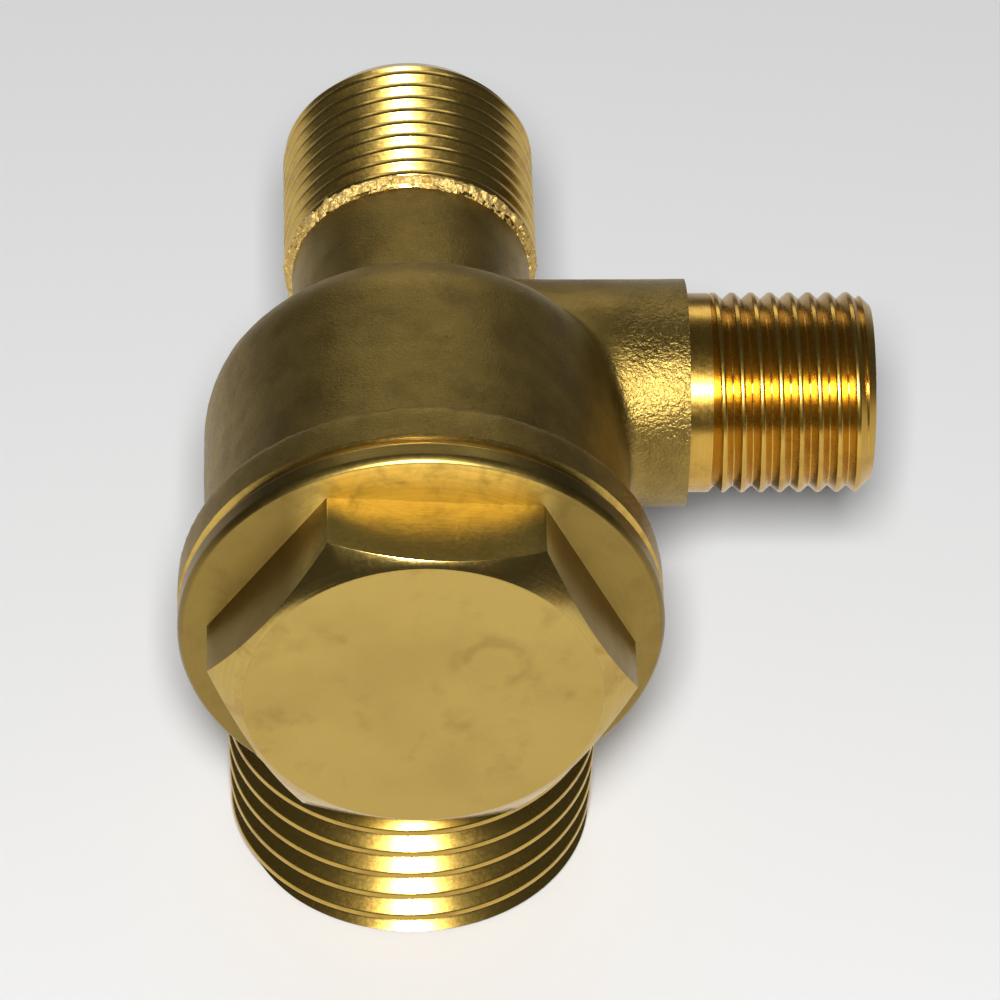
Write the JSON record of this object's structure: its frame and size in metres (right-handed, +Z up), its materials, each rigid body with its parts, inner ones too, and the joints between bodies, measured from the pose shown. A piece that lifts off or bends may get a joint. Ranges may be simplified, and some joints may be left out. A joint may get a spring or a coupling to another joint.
{
  "type": "pressure relief valve",
  "caption": "Brass three-port relief valve: forged barrel body, screwed hexagon cap over a spring-loaded poppet, male threaded inlet, side and tank ports.",
  "frame": {"origin": "centre of the tank port's end face", "axes": "+Z up, against the way the tank port points; +X along the side port, pointing out of it; +Y along the inlet port, pointing out of it; the hexagon cap faces -Y"},
  "size_m": [0.0384, 0.0442, 0.0397],
  "materials": {
    "forged_brass": "forged and tumbled, matt, with machined threads and ends",
    "turned_brass": "turned and milled bar brass, satin",
    "seat_brass": "fine turned",
    "nitrile_rubber": "moulded, slightly shiny",
    "stainless_steel": "passivated",
    "spring_steel": "drawn wire, bright",
    "ptfe": "waxy, off white"
  },
  "bodies": {
    "body": {"valve_body": "forged_brass", "seat_ring": "seat_brass"},
    "cap_stack": {"cap_o_ring": "nitrile_rubber", "spring": "spring_steel", "spring_plate": "stainless_steel", "adjusting_shims": "stainless_steel"},
    "cap": {"hex_cap": "turned_brass", "guide_bush": "ptfe"},
    "poppet": {"poppet": "seat_brass", "seal_disc": "nitrile_rubber", "seal_washer": "stainless_steel", "seal_screw": "stainless_steel"}
  },
  "joints": [
    {"name": "poppet_lift", "type": "slide", "parent": "body", "child": "poppet", "axis": [0, -1, 0], "range_m": [0, 0.0025], "stiffness_N_per_m": 8500, "springref_m": -0.0065, "deforming": ["spring"]},
    {"name": "cap_travel", "type": "slide", "parent": "body", "child": "cap_stack", "axis": [0, -1, 0], "range_m": [0, 0.004]},
    {"name": "cap_turn", "type": "hinge", "parent": "cap_stack", "child": "cap", "pos_m": [0, -0.01085, 0.0266], "axis": [0, -1, 0], "range_deg": [0, 1440]}
  ],
  "couplings": [
    {"joint": "cap_travel", "follows": "cap_turn", "m_per_rad": 0.00015915}
  ]
}
